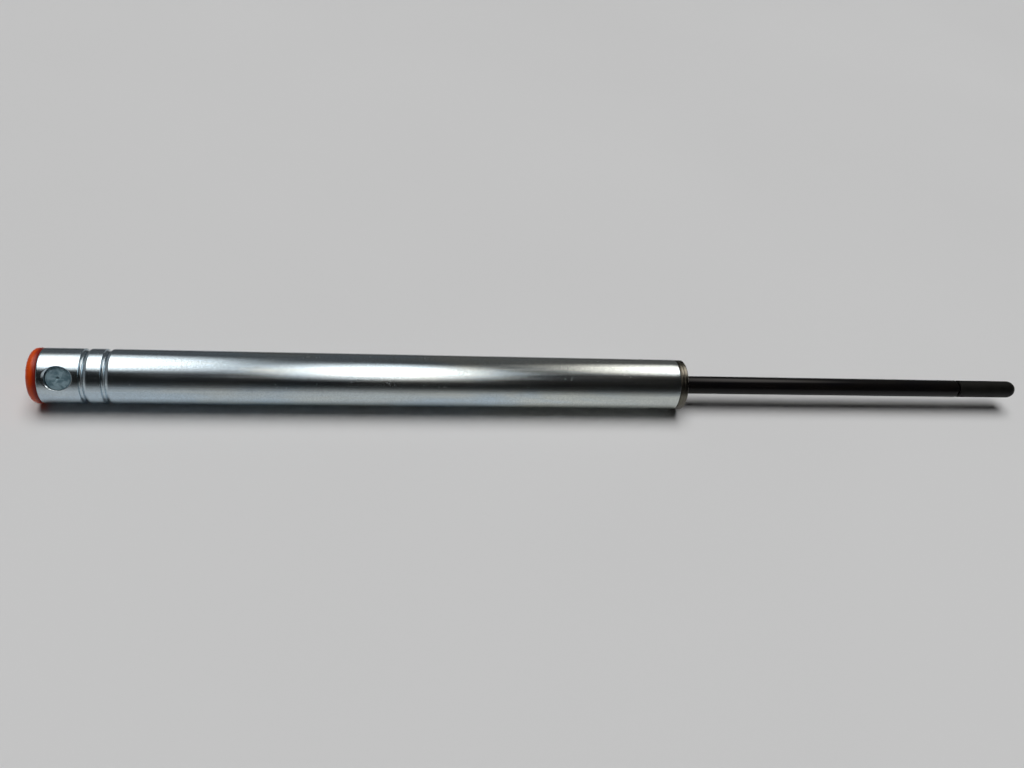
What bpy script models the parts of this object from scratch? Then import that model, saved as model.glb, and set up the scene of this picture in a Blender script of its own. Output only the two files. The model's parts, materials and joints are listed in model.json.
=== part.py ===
"""Gas-charged hydraulic strut: a sealed one-stage cylinder with a black rod and an orange end cap.

The strut lies along +X. The origin is the centre of the end cap's flat outer face, and +Z is up.
Every turned piece is a section swept about the strut's axis, the local Z of the empties that carry it.
"""

import math

import bmesh
import bpy

MM = 0.001

# Driving dimensions, in metres.
GAP = 0.3 * MM  # clearance left between pieces that touch or nearly touch
CASING_SIDES = 32  # facets round the tube, the end cap and the gland
INNER_SIDES = 24  # facets round everything smaller
SHARP_ANGLE = math.radians(40)

TUBE_RADIUS = 14.0 * MM
TUBE_WALL = 2.0 * MM
TUBE_END = 333.8 * MM
TUBE_BORE = TUBE_RADIUS - TUBE_WALL
FITTED_RADIUS = TUBE_BORE - GAP  # the outside of what fills the bore
RING_RADIUS = TUBE_BORE - 0.4 * MM  # seals and guide rings, short of the bore

ROLLED_GROOVES = (26.35 * MM, 36.55 * MM)  # crimps that hold the end plug
ROLLED_DEPTH = 1.3 * MM
ROLLED_WIDTH = 3.5 * MM

CAP_FLANGE = 5.0 * MM
CAP_EDGE = 3.0 * MM  # rounding of the cap's outer edge
CAP_SPIGOT = 2.2 * MM
CAP_STEM = 3.5 * MM
CAP_STEM_RADIUS = 3.0 * MM

PLUG_END = 46.5 * MM
PASSAGE_RADIUS = 1.5 * MM

PORT_X = 14.6 * MM
PORT_TILT = math.radians(50)  # from straight up towards -Y
PORT_MOUTH_RADIUS = 7.4 * MM  # the countersink at the tube's surface
PORT_PLUG_RADIUS = 6.0 * MM
PORT_PLUG_SHANK = 4.0 * MM
PORT_DEPTH = 2.5 * MM  # from the tube's surface to the port plug's face

GLAND_START = 306.0 * MM
GLAND_END = 338.4 * MM
GLAND_FLANGE_RADIUS = 13.85 * MM
SEAL_POCKET_RADIUS = 9.3 * MM
SEAL_POCKET_END = 326.0 * MM
WIPER_POCKET_RADIUS = 8.0 * MM
WIPER_POCKET_DEPTH = 3.8 * MM

O_RING_SECTION = 1.05 * MM
O_RING_GROOVE_FLOOR = 9.2 * MM
O_RING_GROOVE = 4.4 * MM  # room for an O-ring and a backup ring

ROD_RADIUS = 5.0 * MM
ROD_SHOULDER = 300.3 * MM  # where the piston's stack is clamped
ROD_END = 510.3 * MM
SPIGOT_RADIUS = 3.5 * MM
SPIGOT_START = 274.0 * MM
STUD_RADIUS = 3.6 * MM
STUD_LENGTH = 20.0 * MM
ROD_CAP_START = 511.6 * MM
ROD_CAP_LENGTH = 38.0 * MM

PISTON_START = 283.9 * MM
PISTON_LENGTH = 12.4 * MM
PISTON_RADIUS = 11.4 * MM
PISTON_BOSS_RADIUS = 4.8 * MM
CHECK_LIFT = 0.5 * MM
ORIFICE_CIRCLE = 6.9 * MM
ORIFICE_RADIUS = 1.1 * MM
ORIFICES = 4

SEPARATOR_START = 122.0 * MM
SEPARATOR_LENGTH = 16.0 * MM

# Finish: base colour, roughness, metallic.
FINISHES = {
    "zinc_plated_steel": ((0.62, 0.65, 0.68), 0.28, 1.0),
    "orange_plastic": ((0.78, 0.13, 0.02), 0.32, 0.0),
    "machined_steel": ((0.36, 0.33, 0.29), 0.38, 1.0),
    "black_nitrided_steel": ((0.012, 0.012, 0.014), 0.22, 0.6),
    "black_plastic": ((0.016, 0.016, 0.015), 0.55, 0.0),
    "seal_rubber": ((0.02, 0.02, 0.02), 0.7, 0.0),
    "bearing_polymer": ((0.12, 0.10, 0.08), 0.5, 0.0),
    "aluminium": ((0.70, 0.71, 0.72), 0.35, 1.0),
    "bumper_polymer": ((0.55, 0.42, 0.12), 0.5, 0.0),
    "bronze": ((0.60, 0.40, 0.18), 0.35, 1.0),
}


def clear_scene():
    for obj in list(bpy.data.objects):
        bpy.data.objects.remove(obj, do_unlink=True)


def new_collection(name):
    collection = bpy.data.collections.new(name)
    bpy.context.scene.collection.children.link(collection)
    return collection


def new_material(name):
    colour, roughness, metallic = FINISHES[name]
    material = bpy.data.materials.new(name)
    material.use_nodes = True
    shader = material.node_tree.nodes["Principled BSDF"]
    shader.inputs["Base Color"].default_value = (*colour, 1.0)
    shader.inputs["Roughness"].default_value = roughness
    shader.inputs["Metallic"].default_value = metallic
    return material


clear_scene()
PARTS = new_collection("gas_charged_strut")
CUTTERS = new_collection("cutters")
CUTTERS.hide_render = True
MATERIALS = {name: new_material(name) for name in FINISHES}


def add_empty(name, location, rotation=(0, 0, 0), parent=None):
    empty = bpy.data.objects.new(name, None)
    empty.empty_display_size = 10 * MM
    empty.location = location
    empty.rotation_euler = rotation
    empty.parent = parent
    PARTS.objects.link(empty)
    return empty


# Sections. Each is a list of (height, radius) that starts at the top, runs down the outside and
# comes back up the bore. A section that starts and ends on the axis makes a piece with no through bore.


def arc(height, radius, size, start, end, steps):
    """Points round (height, radius), from start to end degrees; 0 points outwards, 90 up."""
    angles = [math.radians(start + (end - start) * i / steps) for i in range(steps + 1)]
    return [(height + size * math.sin(a), radius + size * math.cos(a)) for a in angles]


def side(length, outer, chamfer=0.0, grooves=()):
    """The outside of a sleeve, from top to bottom. A groove is its start, width and floor radius."""
    points = [(length, outer - chamfer)] + [(length - chamfer, outer)] * (chamfer > 0)
    for start, width, floor in sorted(grooves, reverse=True):
        points += [(start + width, outer), (start + width, floor), (start, floor), (start, outer)]
    return points + [(chamfer, outer)] * (chamfer > 0) + [(0, outer - chamfer)]


def sleeve(length, outer, bore, chamfer=0.0, grooves=()):
    return side(length, outer, chamfer, grooves) + [(0, bore), (length, bore)]


def round_section(radius, size, steps=8):
    """An O-ring's round section, centred at height 0."""
    return arc(0, radius, size, 360, 0, steps)[:-1]


def rolled_groove(centre, radius):
    """A smooth crimp that sinks ROLLED_DEPTH below radius, from top to bottom."""
    across = [1 - i / 3 for i in range(7)]
    return [
        (centre + t * ROLLED_WIDTH / 2, radius - ROLLED_DEPTH * (1 + math.cos(math.pi * t)) / 2)
        for t in across
    ]


def rolled_side(start, radius):
    """Both crimps on a side of this radius, as heights above start, from top to bottom."""
    points = []
    for groove in sorted(ROLLED_GROOVES, reverse=True):
        points += rolled_groove(groove - start, radius)
    return points


def shade(mesh):
    mesh.shade_smooth()
    mesh.set_sharp_from_angle(angle=SHARP_ANGLE)


def turned(name, at, section, finish, parent, sides=INNER_SIDES):
    """A piece swept from its section about its parent's Z, with a flat facet facing down."""
    mesh = bpy.data.meshes.new(name)
    obj = bpy.data.objects.new(name, mesh)
    open_ended = section[0][1] == 0 and section[-1][1] == 0
    count = len(section)
    edges = [(i, (i + 1) % count) for i in range(count - open_ended)]
    mesh.from_pydata([(radius, 0, height) for height, radius in section], edges, [])
    PARTS.objects.link(obj)
    screw = obj.modifiers.new("sweep", "SCREW")
    screw.axis = "Z"
    screw.steps = screw.render_steps = sides
    screw.use_merge_vertices = True
    screw.merge_threshold = 0.00001
    swept = bpy.data.meshes.new_from_object(obj.evaluated_get(bpy.context.evaluated_depsgraph_get()))
    obj.modifiers.clear()
    obj.data = swept
    bpy.data.meshes.remove(mesh)
    swept.name = name
    swept.materials.append(MATERIALS[finish])
    shade(swept)
    obj.parent = parent
    obj.location = (0, 0, at)
    obj.rotation_euler = (0, 0, math.pi / sides)
    return obj


def add_cutter(name, shapes, parent):
    """A cutter made of cones: each is (x, y, bottom, top, bottom radius, top radius)."""
    mesh = bpy.data.meshes.new(name)
    builder = bmesh.new()
    for x, y, bottom, top, low, high in shapes:
        made = bmesh.ops.create_cone(
            builder,
            cap_ends=True,
            segments=INNER_SIDES if max(low, high) > 2 * MM else 12,
            radius1=low,
            radius2=high,
            depth=top - bottom,
        )
        bmesh.ops.translate(builder, verts=made["verts"], vec=(x, y, (top + bottom) / 2))
    builder.to_mesh(mesh)
    builder.free()
    cutter = bpy.data.objects.new(name, mesh)
    cutter.parent = parent
    cutter.hide_render = True
    cutter.display_type = "WIRE"
    CUTTERS.objects.link(cutter)
    return cutter


def cut(obj, cutter):
    boolean = obj.modifiers.new(cutter.name, "BOOLEAN")
    boolean.operation = "DIFFERENCE"
    boolean.solver = "EXACT"
    boolean.object = cutter


# The empties: Z of the first three runs along the strut, and Z of the last out through the port.
ALONG = (0, math.pi / 2, 0)
BARREL = add_empty("barrel_axis", (0, 0, 0), ALONG)
ROD = add_empty("rod_axis", (0, 0, 0), ALONG)
SEPARATOR = add_empty("separator_axis", (0, 0, 0), ALONG)
PORT = add_empty("port_axis", (PORT_X, 0, 0), (PORT_TILT, 0, 0))


def make_tube():
    start = CAP_FLANGE + GAP
    length = TUBE_END - start
    chamfer = 0.3 * MM
    section = [(length, TUBE_RADIUS - chamfer), (length - chamfer, TUBE_RADIUS)]
    section += rolled_side(start, TUBE_RADIUS)
    section += [(0, TUBE_RADIUS), (0, TUBE_BORE)]
    section += rolled_side(start, TUBE_BORE)[::-1]
    section += [(length, TUBE_BORE)]
    tube = turned("cylinder_tube", start, section, "zinc_plated_steel", BARREL, CASING_SIDES)
    slope = (PORT_MOUTH_RADIUS - PORT_PLUG_RADIUS) / PORT_DEPTH
    reach = 2 * MM  # the cutter goes on past the surface at the same slope
    low = TUBE_RADIUS - PORT_DEPTH
    mouth = PORT_MOUTH_RADIUS + slope * reach
    cone = (0, 0, low, TUBE_RADIUS + reach, PORT_PLUG_RADIUS, mouth)
    well = (0, 0, low - 5 * MM, low + 0.1 * MM, PORT_PLUG_RADIUS + GAP, PORT_PLUG_RADIUS + GAP)
    cut(tube, add_cutter("port_countersink", [cone], PORT))
    cut(tube, add_cutter("port_well", [well], PORT))


def make_end_cap():
    spigot_top = CAP_FLANGE + CAP_SPIGOT
    stem_top = spigot_top + CAP_STEM
    section = [(stem_top, 0), (stem_top, CAP_STEM_RADIUS), (spigot_top, CAP_STEM_RADIUS)]
    section += [(spigot_top, FITTED_RADIUS), (CAP_FLANGE, FITTED_RADIUS), (CAP_FLANGE, TUBE_RADIUS)]
    section += arc(CAP_EDGE, TUBE_RADIUS - CAP_EDGE, CAP_EDGE, 0, -90, 4)
    section += [(0, 0)]
    turned("end_cap", 0, section, "orange_plastic", BARREL, CASING_SIDES)


SHANK_FLOOR = 4.3 * MM  # heights above the strut's axis, on the port's own axis
SEAT_FLOOR = 7.8 * MM
SEAL_THICKNESS = 0.8 * MM


def make_end_plug():
    start = CAP_FLANGE + CAP_SPIGOT + GAP
    top = PLUG_END - start
    chamfer = 0.6 * MM
    seal_groove = PLUG_END - 6.1 * MM - start
    passage_floor = PORT_X - PASSAGE_RADIUS - start
    socket = CAP_STEM_RADIUS + GAP
    socket_floor = CAP_STEM + GAP
    section = [(passage_floor, 0), (passage_floor, PASSAGE_RADIUS), (top, PASSAGE_RADIUS)]
    section += side(top, FITTED_RADIUS, chamfer, [(seal_groove, O_RING_GROOVE, O_RING_GROOVE_FLOOR)])[:-2]
    section += rolled_side(start, FITTED_RADIUS)
    section += [(0, FITTED_RADIUS), (0, socket), (socket_floor, socket), (socket_floor, 0)]
    plug = turned("end_plug", start, section, "machined_steel", BARREL)
    seat = PORT_PLUG_RADIUS + GAP
    shank = PORT_PLUG_SHANK + GAP
    cut(plug, add_cutter("port_seat", [(0, 0, SEAT_FLOOR, TUBE_RADIUS, seat, seat)], PORT))
    cut(plug, add_cutter("port_shank_bore", [(0, 0, SHANK_FLOOR, SEAT_FLOOR + MM, shank, shank)], PORT))
    narrow = PASSAGE_RADIUS - 0.3 * MM
    cut(plug, add_cutter("port_passage", [(0, 0, 0, SHANK_FLOOR + MM, narrow, narrow)], PORT))
    seal_at = start + seal_groove
    turned(
        "end_plug_backup_ring",
        seal_at + GAP,
        sleeve(1.0 * MM, RING_RADIUS, O_RING_GROOVE_FLOOR + GAP),
        "bearing_polymer",
        BARREL,
    )
    o_ring("end_plug_o_ring", seal_at + 2.8 * MM, BARREL)


def o_ring(name, at, parent):
    turned(name, at, round_section(RING_RADIUS - O_RING_SECTION, O_RING_SECTION), "seal_rubber", parent)


def make_port_plug():
    face = TUBE_RADIUS - PORT_DEPTH
    under_head = SEAT_FLOOR + SEAL_THICKNESS + 2 * GAP
    dimple = 1.0 * MM
    section = [(face - 0.7 * MM, 0), (face, dimple), (face, PORT_PLUG_RADIUS)]
    section += [(under_head, PORT_PLUG_RADIUS), (under_head, PORT_PLUG_SHANK)]
    section += [(SHANK_FLOOR + GAP, PORT_PLUG_SHANK), (SHANK_FLOOR + GAP, 0)]
    turned("port_plug", 0, section, "zinc_plated_steel", PORT)
    turned(
        "port_seal_ring",
        SEAT_FLOOR + GAP,
        sleeve(SEAL_THICKNESS, PORT_PLUG_RADIUS - 0.1 * MM, PORT_PLUG_SHANK + GAP),
        "bronze",
        PORT,
    )


def make_gland():
    top = GLAND_END - GLAND_START
    flange = TUBE_END + GAP - GLAND_START
    chamfer = 0.6 * MM
    seal_groove = flange - 6.2 * MM
    rod_bore = ROD_RADIUS + GAP
    wiper_floor = top - WIPER_POCKET_DEPTH
    pocket = SEAL_POCKET_END - GLAND_START
    clip_groove, clip_width, clip_radius = 1.0 * MM, 1.8 * MM, SEAL_POCKET_RADIUS + 0.8 * MM
    section = [(top, GLAND_FLANGE_RADIUS - chamfer), (top - chamfer, GLAND_FLANGE_RADIUS)]
    section += [(flange, GLAND_FLANGE_RADIUS)]
    section += side(flange, FITTED_RADIUS, 0, [(seal_groove, O_RING_GROOVE, O_RING_GROOVE_FLOOR)])[:-1]
    section += [(chamfer, FITTED_RADIUS), (0, FITTED_RADIUS - chamfer), (0, SEAL_POCKET_RADIUS)]
    section += [(clip_groove, SEAL_POCKET_RADIUS), (clip_groove, clip_radius)]
    section += [(clip_groove + clip_width, clip_radius), (clip_groove + clip_width, SEAL_POCKET_RADIUS)]
    section += [(pocket, SEAL_POCKET_RADIUS), (pocket, rod_bore), (wiper_floor, rod_bore)]
    section += [(wiper_floor, WIPER_POCKET_RADIUS), (top, WIPER_POCKET_RADIUS)]
    gland = turned("gland_head", GLAND_START, section, "machined_steel", BARREL, CASING_SIDES)
    pin, pin_circle = 1.25 * MM, 10.9 * MM  # two blind holes for a pin spanner
    low, high = GLAND_END - 2.5 * MM, GLAND_END + MM
    holes = [(sign * pin_circle, 0, low, high, pin, pin) for sign in (-1, 1)]
    cut(gland, add_cutter("spanner_holes", holes, BARREL))

    seal_at = GLAND_START + seal_groove
    o_ring("gland_o_ring", seal_at + 1.6 * MM, BARREL)
    turned(
        "gland_backup_ring",
        seal_at + O_RING_GROOVE - GAP - 1.0 * MM,
        sleeve(1.0 * MM, RING_RADIUS, O_RING_GROOVE_FLOOR + GAP),
        "bearing_polymer",
        BARREL,
    )


def make_gland_seals():
    pocket = SEAL_POCKET_RADIUS - GAP
    rubbing = ROD_RADIUS + 0.2 * MM
    seal_length = 5.7 * MM
    seal_at = SEAL_POCKET_END - GAP - seal_length
    lip, crotch = 0.7 * MM, 2.5 * MM
    section = [(seal_length, pocket), (0, pocket), (0, pocket - lip)]
    section += [(crotch, (pocket + rubbing) / 2), (0, rubbing + lip), (0, rubbing), (seal_length, rubbing)]
    turned("rod_seal", seal_at, section, "seal_rubber", BARREL)

    washer = 1.5 * MM
    washer_at = seal_at - GAP - washer
    turned("seal_washer", washer_at, sleeve(washer, pocket, ROD_RADIUS + GAP), "machined_steel", BARREL)

    clip_at = GLAND_START + 1.3 * MM
    clip = 1.2 * MM
    bush_at = clip_at + clip + 2 * GAP
    bush = washer_at - GAP - bush_at
    turned("rod_guide_bush", bush_at, sleeve(bush, pocket, rubbing, 0.5 * MM), "bronze", BARREL)

    ring = turned(
        "gland_snap_ring",
        clip_at,
        sleeve(clip, SEAL_POCKET_RADIUS + 0.5 * MM, SEAL_POCKET_RADIUS - 1.8 * MM),
        "machined_steel",
        BARREL,
    )
    middle = SEAL_POCKET_RADIUS - 0.6 * MM
    opening = [(middle, 0, clip_at - MM, clip_at + clip + MM, 2.2 * MM, 2.2 * MM)]
    cut(ring, add_cutter("snap_ring_opening", opening, BARREL))

    wiper_at = GLAND_END - WIPER_POCKET_DEPTH + GAP
    wiper = WIPER_POCKET_DEPTH - 2 * GAP
    outer = WIPER_POCKET_RADIUS - GAP
    section = [(wiper, outer), (0, outer), (0, rubbing + 0.5 * MM), (wiper * 0.55, rubbing + 0.5 * MM)]
    section += [(wiper * 0.9, rubbing), (wiper, rubbing + 0.2 * MM)]
    section += [(wiper, rubbing + 1.0 * MM), (wiper - MM, rubbing + 1.4 * MM), (wiper, rubbing + 1.9 * MM)]
    turned("rod_wiper", wiper_at, section, "seal_rubber", BARREL)


def make_rod():
    chamfer = 0.5 * MM
    length = ROD_END - SPIGOT_START
    shoulder = ROD_SHOULDER - SPIGOT_START
    stud = length + STUD_LENGTH
    section = [(stud, 0), (stud, STUD_RADIUS - chamfer), (stud - chamfer, STUD_RADIUS)]
    section += [(length, STUD_RADIUS), (length, ROD_RADIUS - chamfer), (length - chamfer, ROD_RADIUS)]
    section += [(shoulder, ROD_RADIUS), (shoulder, SPIGOT_RADIUS)]
    section += [(chamfer, SPIGOT_RADIUS), (0, SPIGOT_RADIUS - chamfer), (0, 0)]
    turned("piston_rod", SPIGOT_START, section, "black_nitrided_steel", ROD)

    bore = STUD_RADIUS + GAP
    bore_floor = STUD_LENGTH - (ROD_CAP_START - ROD_END) + GAP
    section = arc(ROD_CAP_LENGTH - ROD_RADIUS, 0, ROD_RADIUS, 90, 0, 5)
    section[0] = (ROD_CAP_LENGTH, 0)
    section += [(chamfer, ROD_RADIUS), (0, ROD_RADIUS - chamfer)]
    section += [(0, bore), (bore_floor, bore), (bore_floor, 0)]
    turned("rod_end_cap", ROD_CAP_START, section, "black_plastic", ROD)


def make_piston():
    spigot_bore = SPIGOT_RADIUS + GAP
    end = PISTON_START + PISTON_LENGTH
    boss_end = end + 2.2 * MM
    boss = boss_end - PISTON_START
    groove_at, groove, groove_floor = 3.7 * MM, 5.0 * MM, 8.7 * MM
    section = [(boss, PISTON_BOSS_RADIUS), (PISTON_LENGTH, PISTON_BOSS_RADIUS)]
    section += side(PISTON_LENGTH, PISTON_RADIUS, 0.4 * MM, [(groove_at, groove, groove_floor)])
    section += [(0, spigot_bore), (boss, spigot_bore)]
    piston = turned("piston", PISTON_START, section, "machined_steel", ROD)
    turns = [2 * math.pi * (i + 0.5) / ORIFICES for i in range(ORIFICES)]
    low, high = PISTON_START - MM, end + MM
    centres = [(ORIFICE_CIRCLE * math.cos(a), ORIFICE_CIRCLE * math.sin(a)) for a in turns]
    holes = [(x, y, low, high, ORIFICE_RADIUS, ORIFICE_RADIUS) for x, y in centres]
    cut(piston, add_cutter("piston_orifices", holes, ROD))

    energizer = 0.6 * MM
    middle = PISTON_START + groove_at + groove / 2
    section = round_section(groove_floor + GAP + energizer, energizer, 6)
    turned("piston_ring_energizer", middle, section, "seal_rubber", ROD)
    ring_bore = groove_floor + 2 * GAP + 2 * energizer
    ring = groove - 2 * GAP
    section = sleeve(ring, RING_RADIUS, ring_bore)
    turned("piston_ring", middle - ring / 2, section, "bearing_polymer", ROD)

    disc_bore, disc = PISTON_BOSS_RADIUS + GAP, 0.6 * MM
    plate_at = end + GAP
    turned("check_plate", plate_at, sleeve(disc, 8.8 * MM, disc_bore), "machined_steel", ROD)
    spring = 0.5 * MM
    spring_at = plate_at + disc + CHECK_LIFT + GAP
    turned("check_spring", spring_at, sleeve(spring, 8.6 * MM, disc_bore), "machined_steel", ROD)

    seat_at = boss_end + GAP
    seat = ROD_SHOULDER - GAP - seat_at
    turned("bumper_seat", seat_at, sleeve(seat, 10.5 * MM, spigot_bore), "machined_steel", ROD)
    bumper = 5.3 * MM
    section = sleeve(bumper, 9.5 * MM, ROD_RADIUS + GAP, 1.0 * MM)
    turned("rebound_bumper", ROD_SHOULDER, section, "bumper_polymer", ROD)

    shim_at = PISTON_START - GAP - disc
    turned("damping_shim", shim_at, sleeve(disc, 8.0 * MM, spigot_bore), "machined_steel", ROD)
    washer = 1.2 * MM
    washer_at = shim_at - GAP - washer
    turned("piston_washer", washer_at, sleeve(washer, 7.0 * MM, spigot_bore), "machined_steel", ROD)
    nut = 5.6 * MM
    nut_corner = 13.0 * MM / math.sqrt(3)  # a 13 mm spanner size
    nut_at = washer_at - GAP - nut
    section = [(nut, 0), (nut, nut_corner), (0, nut_corner), (0, 0)]
    hexagon = turned("piston_nut", nut_at, section, "zinc_plated_steel", ROD, 6)
    bore = [(0, 0, nut_at - MM, nut_at + nut + MM, spigot_bore, spigot_bore)]
    cut(hexagon, add_cutter("piston_nut_bore", bore, ROD))


def make_separator():
    cup, cup_depth = 7.5 * MM, 9.0 * MM
    guide, guide_floor = 2.6 * MM, 10.2 * MM
    guides = (1.6 * MM, SEPARATOR_LENGTH - 1.6 * MM - guide)
    seal, seal_width = 6.2 * MM, 3.8 * MM
    grooves = [(at, guide, guide_floor) for at in guides] + [(seal, seal_width, O_RING_GROOVE_FLOOR)]
    section = [(SEPARATOR_LENGTH, 0)] + side(SEPARATOR_LENGTH, PISTON_RADIUS, 0.4 * MM, grooves)
    section += [(0, cup), (cup_depth, cup), (cup_depth, 0)]
    turned("separator_piston", SEPARATOR_START, section, "aluminium", SEPARATOR)
    for name, at in zip(("separator_guide_tail", "separator_guide_rod"), guides):
        section = sleeve(guide - 2 * GAP, RING_RADIUS, guide_floor + GAP)
        turned(name, SEPARATOR_START + at + GAP, section, "bearing_polymer", SEPARATOR)
    o_ring("separator_o_ring", SEPARATOR_START + seal + seal_width / 2, SEPARATOR)


make_end_cap()
make_tube()
make_end_plug()
make_port_plug()
make_gland()
make_gland_seals()
make_rod()
make_piston()
make_separator()
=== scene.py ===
"""The looks of a gas-charged hydraulic strut that lies on a pale floor.

The strut's axis is the X axis, its tail face is at x = 0 and its side port faces up and towards -Y.
Every turned piece is lathed about that axis; angles round it are measured from +Z towards -Y.
"""

import json
import math

import bmesh
import bpy
from mathutils import Matrix, Vector


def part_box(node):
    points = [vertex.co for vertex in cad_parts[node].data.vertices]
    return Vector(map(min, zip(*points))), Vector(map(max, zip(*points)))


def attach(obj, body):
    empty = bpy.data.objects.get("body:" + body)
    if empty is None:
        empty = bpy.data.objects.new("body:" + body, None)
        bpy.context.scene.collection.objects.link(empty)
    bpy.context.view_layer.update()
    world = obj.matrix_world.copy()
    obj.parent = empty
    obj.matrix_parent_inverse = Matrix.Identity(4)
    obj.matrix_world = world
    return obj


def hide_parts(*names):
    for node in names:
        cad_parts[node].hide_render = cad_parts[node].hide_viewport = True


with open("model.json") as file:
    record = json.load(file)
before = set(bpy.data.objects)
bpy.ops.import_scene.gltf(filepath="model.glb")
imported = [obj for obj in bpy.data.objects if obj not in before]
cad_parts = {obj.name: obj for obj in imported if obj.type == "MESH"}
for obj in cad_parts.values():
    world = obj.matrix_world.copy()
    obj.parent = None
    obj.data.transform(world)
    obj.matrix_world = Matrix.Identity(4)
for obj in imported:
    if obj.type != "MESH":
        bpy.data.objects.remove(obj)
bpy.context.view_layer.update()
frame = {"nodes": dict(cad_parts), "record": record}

MM = 0.001

# Driving dimensions, in metres. Where a piece starts and ends comes from the frame.
TUBE_RADIUS = 14.0 * MM
TUBE_BORE = 12.0 * MM
CAP_EDGE = 3.0 * MM
LIP = 0.35 * MM  # rounds both ends of the tube
GROOVE_CENTRES = (26.35 * MM, 36.55 * MM)
GROOVE_HALF_WIDTH = 1.9 * MM
GROOVE_DEPTH = 1.1 * MM
GROOVE_LOWEST = -0.5  # where a groove is deepest, from -1 at its tail side to 1 at its rod side

PORT_X = 14.6 * MM
PORT_ANGLE = math.radians(50)
PORT_FLOOR_RADIUS = 6.05 * MM
PORT_MOUTH_RADIUS = 7.3 * MM
PORT_EDGE = 0.1 * MM  # breaks the mouth's sharp edge

# Heights along the port's own axis, above the strut's axis.
PORT_CONE_FOOT = 12.75 * MM  # the countersink ends here, and the straight hole begins
PORT_FLOOR_HEIGHT = 11.5 * MM
PLUG_HEAD_FOOT = 9.2 * MM
PLUG_SHANK_FOOT = 4.6 * MM
PORT_SEAL_SPAN = (8.1 * MM, 8.9 * MM)
SEAT_FLOOR = 7.8 * MM
SHANK_HOLE_FLOOR = 4.3 * MM

PLUG_SHANK_RADIUS = 4.0 * MM
PORT_SEAL_RADII = (4.3 * MM, 5.9 * MM)
SEAT_RADIUS = 6.3 * MM
SHANK_HOLE_RADIUS = 4.3 * MM
PASSAGE_RADIUS = 1.2 * MM

ROD_CAP_RADIUS = 4.93 * MM
FLOOR_Z = -TUBE_RADIUS

SEGMENTS = 256  # round the casing
INNER_SEGMENTS = 96  # round the small pieces

# The tube's grid of faces is opened at the port: this far along X each way, in rows and columns.
WINDOW_REACH = 8.4 * MM
WINDOW_ROWS = 40
WINDOW_COLUMNS = 25  # each side of the port
LIP_STEPS = 5


# ---------------------------------------------------------------- sections and lathes


def arc(x, r, size, start, end, steps):
    """Points round (x, r), from start to end degrees; 0 points towards +X, 90 outwards."""
    angles = [math.radians(start + (end - start) * i / steps) for i in range(steps + 1)]
    return [(x + size * math.cos(a), r + size * math.sin(a)) for a in angles]


def softened(loop, size, steps=4, sharpest=math.radians(15)):
    """A closed loop of (x, r) with its corners rounded, except those on the axis."""
    result = []
    count = len(loop)
    for i, corner in enumerate(loop):
        here = Vector(corner)
        before, after = Vector(loop[i - 1]) - here, Vector(loop[(i + 1) % count]) - here
        turn = math.pi - before.angle(after)
        if here.y < 1e-6 or turn < sharpest or turn > math.radians(165):
            result.append(tuple(here))
            continue
        reach = min(size * math.tan(turn / 2), 0.45 * before.length, 0.45 * after.length)
        first, last = here + before.normalized() * reach, here + after.normalized() * reach
        for step in range(steps + 1):
            t = step / steps
            result.append(tuple(first * (1 - t) ** 2 + here * 2 * t * (1 - t) + last * t**2))
    return result


def around(x, r, angle):
    return Vector((x, -r * math.sin(angle), r * math.cos(angle)))


def finished_mesh(build, name):
    mesh = bpy.data.meshes.new(name)
    build.to_mesh(mesh)
    build.free()
    return mesh


def shade(mesh):
    """Smooth faces, with sharp edges where they meet at more than a shallow angle."""
    mesh.shade_smooth()
    mesh.set_sharp_from_angle(angle=math.radians(35))


def new_piece(name, mesh, material):
    mesh.validate()
    mesh.materials.append(material)
    shade(mesh)
    piece = bpy.data.objects.new(name, mesh)
    bpy.context.scene.collection.objects.link(piece)
    return piece


def lathed_mesh(name, loop, segments):
    """A closed loop of (x, r), swept about the X axis. Points on the axis become single vertices."""
    area = sum(a[0] * b[1] - b[0] * a[1] for a, b in zip(loop, loop[1:] + loop[:1]))
    loop = loop if area < 0 else loop[::-1]
    build = bmesh.new()
    rings = []
    for x, r in loop:
        if r < 1e-6:
            rings.append([build.verts.new((x, 0, 0))] * segments)
        else:
            angles = [2 * math.pi * i / segments for i in range(segments)]
            rings.append([build.verts.new(around(x, r, angle)) for angle in angles])
    for ring, following in zip(rings, rings[1:] + rings[:1]):
        for i in range(segments):
            j = (i + 1) % segments
            corners = dict.fromkeys((ring[i], ring[j], following[j], following[i]))
            if len(corners) > 2:
                build.faces.new(corners)
    bmesh.ops.recalc_face_normals(build, faces=build.faces)
    return finished_mesh(build, name)


def lathe(name, loop, material, segments=SEGMENTS):
    return new_piece(name, lathed_mesh(name, loop, segments), material)


def smoothstep(t):
    t = min(max(t, 0.0), 1.0)
    return t * t * (3 - 2 * t)


def drilled(piece, cutter_mesh):
    """The piece with the cutter's shape removed."""
    cutter = bpy.data.objects.new("cutter", cutter_mesh)
    bpy.context.scene.collection.objects.link(cutter)
    cut = piece.modifiers.new("cut", "BOOLEAN")
    cut.operation = "DIFFERENCE"
    cut.object = cutter
    graph = bpy.context.evaluated_depsgraph_get()
    result = bpy.data.meshes.new_from_object(piece.evaluated_get(graph))
    piece.modifiers.clear()
    piece.data = result
    bpy.data.objects.remove(cutter)
    shade(result)
    return piece


def add_prism(build, segments, radius, length, place):
    """A prism about the place's Z axis; with many segments it is a plain cylinder."""
    sizes = {"radius1": radius, "radius2": radius, "depth": length}
    bmesh.ops.create_cone(build, cap_ends=True, segments=segments, matrix=place, **sizes)


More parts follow.
